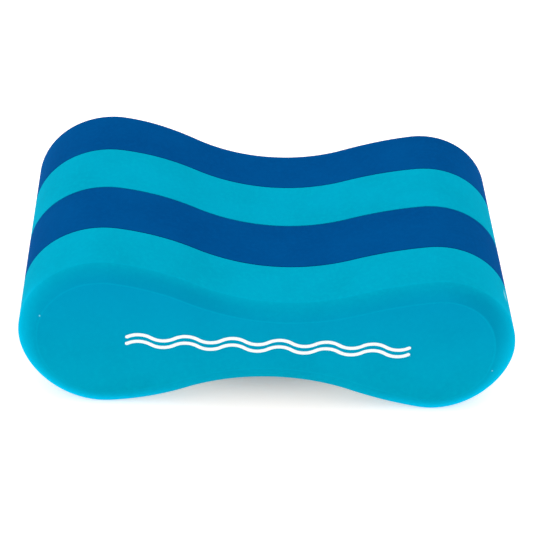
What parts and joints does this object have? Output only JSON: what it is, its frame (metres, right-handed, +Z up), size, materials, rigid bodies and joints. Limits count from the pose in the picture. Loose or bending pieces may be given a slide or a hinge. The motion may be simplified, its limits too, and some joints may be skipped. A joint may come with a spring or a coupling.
{
  "type": "pull buoy",
  "caption": "Figure-eight swimming pull buoy laminated from alternating aqua and dark blue foam slabs, with a rounded printed front and hollows for the thighs.",
  "frame": {"origin": "on the floor under the middle of the part, as it lies on its two lobes", "axes": "+X along the length towards the smaller lobe, +Y through the slabs from the printed front to the back, +Z up from the floor"},
  "size_m": [0.24, 0.1394, 0.082],
  "materials": {
    "aqua_foam": "matte closed-cell foam",
    "blue_foam": "matte closed-cell foam",
    "adhesive": "thin dried contact adhesive",
    "white_ink": "matte printed ink"
  },
  "bodies": {
    "root": {"front_foam_layer": "aqua_foam", "second_foam_layer": "blue_foam", "third_foam_layer": "aqua_foam", "back_foam_layer": "blue_foam", "front_adhesive_film": "adhesive", "middle_adhesive_film": "adhesive", "back_adhesive_film": "adhesive", "printed_wave_upper": "white_ink", "printed_wave_lower": "white_ink"}
  },
  "joints": []
}
